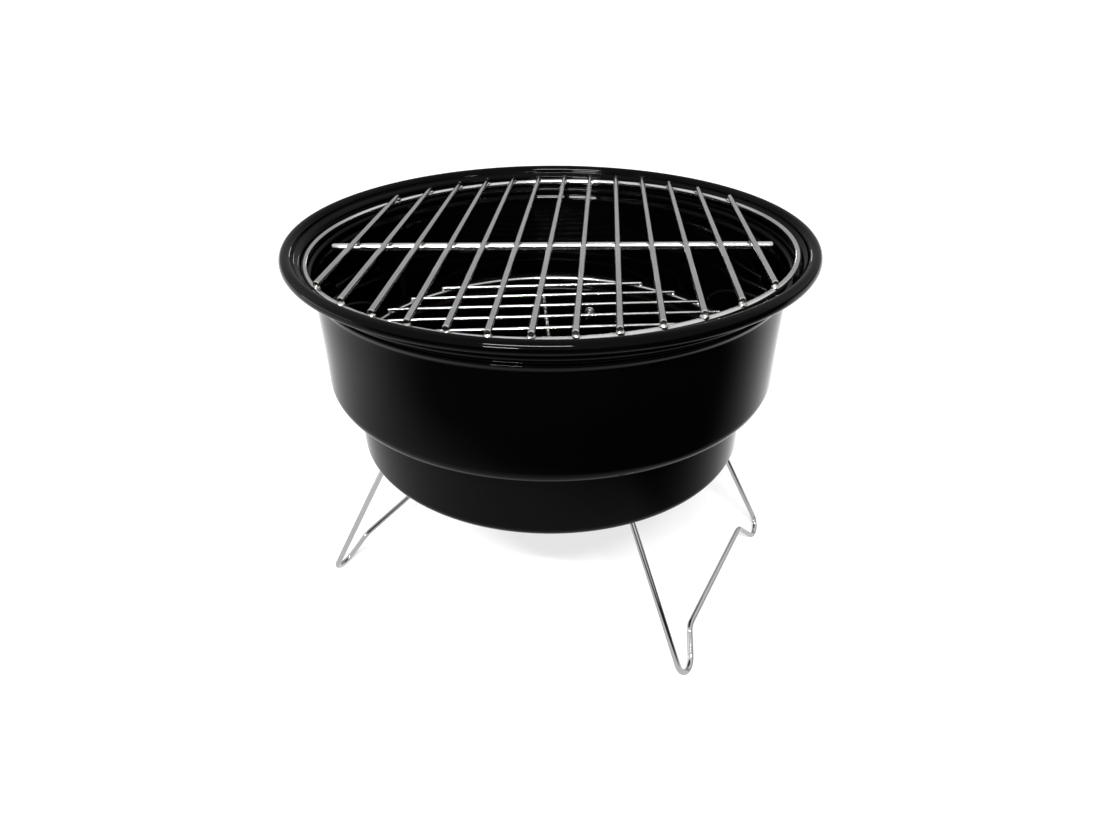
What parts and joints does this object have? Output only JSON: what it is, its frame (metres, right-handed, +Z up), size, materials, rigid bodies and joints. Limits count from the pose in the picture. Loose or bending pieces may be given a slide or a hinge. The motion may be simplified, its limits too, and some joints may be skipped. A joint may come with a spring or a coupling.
{
  "type": "portable charcoal grill",
  "caption": "Round tabletop charcoal grill: stepped enamelled bowl with a rolled lip, lift-out cooking and charcoal grates, and two wire legs that fold under the base.",
  "frame": {"origin": "on the bowl's axis, on the ground the four feet stand on", "axes": "+Z up; +X towards the right leg, square to both leg hinges; +Y along the hinges, away from the camera"},
  "size_m": [0.2616, 0.2616, 0.216],
  "materials": {
    "black_enamel": "gloss black enamel on steel sheet",
    "grate_chrome": "chromed steel wire",
    "coal_grate_wire": "plated steel wire",
    "leg_chrome": "bright chromed steel wire",
    "zinc_plate": "zinc plated steel",
    "screw_steel": "plated steel screw"
  },
  "bodies": {
    "bowl_body": {"bowl": "black_enamel", "drum_screw": "screw_steel", "drum_screw_nut": "zinc_plate", "drum_screw_washer": "zinc_plate", "leg_left_back_clip": "zinc_plate", "leg_left_back_nut": "zinc_plate", "leg_left_back_screw": "screw_steel", "leg_left_back_washer": "zinc_plate", "leg_left_front_clip": "zinc_plate", "leg_left_front_nut": "zinc_plate", "leg_left_front_screw": "screw_steel", "leg_left_front_washer": "zinc_plate", "leg_right_back_clip": "zinc_plate", "leg_right_back_nut": "zinc_plate", "leg_right_back_screw": "screw_steel", "leg_right_back_washer": "zinc_plate", "leg_right_front_clip": "zinc_plate", "leg_right_front_nut": "zinc_plate", "leg_right_front_screw": "screw_steel", "leg_right_front_washer": "zinc_plate"},
    "cooking_grate": {"cooking_grate_bar_01": "grate_chrome", "cooking_grate_bar_02": "grate_chrome", "cooking_grate_bar_03": "grate_chrome", "cooking_grate_bar_04": "grate_chrome", "cooking_grate_bar_05": "grate_chrome", "cooking_grate_bar_06": "grate_chrome", "cooking_grate_bar_07": "grate_chrome", "cooking_grate_bar_08": "grate_chrome", "cooking_grate_bar_09": "grate_chrome", "cooking_grate_bar_10": "grate_chrome", "cooking_grate_bar_11": "grate_chrome", "cooking_grate_bar_12": "grate_chrome", "cooking_grate_bar_13": "grate_chrome", "cooking_grate_cross_wire": "grate_chrome", "cooking_grate_ring": "grate_chrome"},
    "charcoal_grate": {"charcoal_grate_cross_wire": "coal_grate_wire", "charcoal_grate_ring": "coal_grate_wire", "charcoal_grate_wire_01": "coal_grate_wire", "charcoal_grate_wire_02": "coal_grate_wire", "charcoal_grate_wire_03": "coal_grate_wire", "charcoal_grate_wire_04": "coal_grate_wire", "charcoal_grate_wire_05": "coal_grate_wire", "charcoal_grate_wire_06": "coal_grate_wire", "charcoal_grate_wire_07": "coal_grate_wire", "charcoal_grate_wire_08": "coal_grate_wire", "charcoal_grate_wire_09": "coal_grate_wire", "charcoal_grate_wire_10": "coal_grate_wire", "charcoal_grate_wire_11": "coal_grate_wire", "charcoal_grate_wire_12": "coal_grate_wire"},
    "right_leg": {"leg_right": "leg_chrome"},
    "left_leg": {"leg_left": "leg_chrome"}
  },
  "joints": [
    {"name": "cooking_grate_lift", "type": "slide", "parent": "bowl_body", "child": "cooking_grate", "axis": [0, 0, 1], "range_m": [0, 0.08]},
    {"name": "charcoal_grate_lift", "type": "slide", "parent": "bowl_body", "child": "charcoal_grate", "axis": [0, 0, 1], "range_m": [0, 0.052]},
    {"name": "right_leg_fold", "type": "hinge", "parent": "bowl_body", "child": "right_leg", "pos_m": [0.0631, 0, 0.0998], "axis": [0, 1, 0], "range_deg": [0, 115]},
    {"name": "left_leg_fold", "type": "hinge", "parent": "bowl_body", "child": "left_leg", "pos_m": [-0.0631, 0, 0.0998], "axis": [0, -1, 0], "range_deg": [0, 107]}
  ]
}
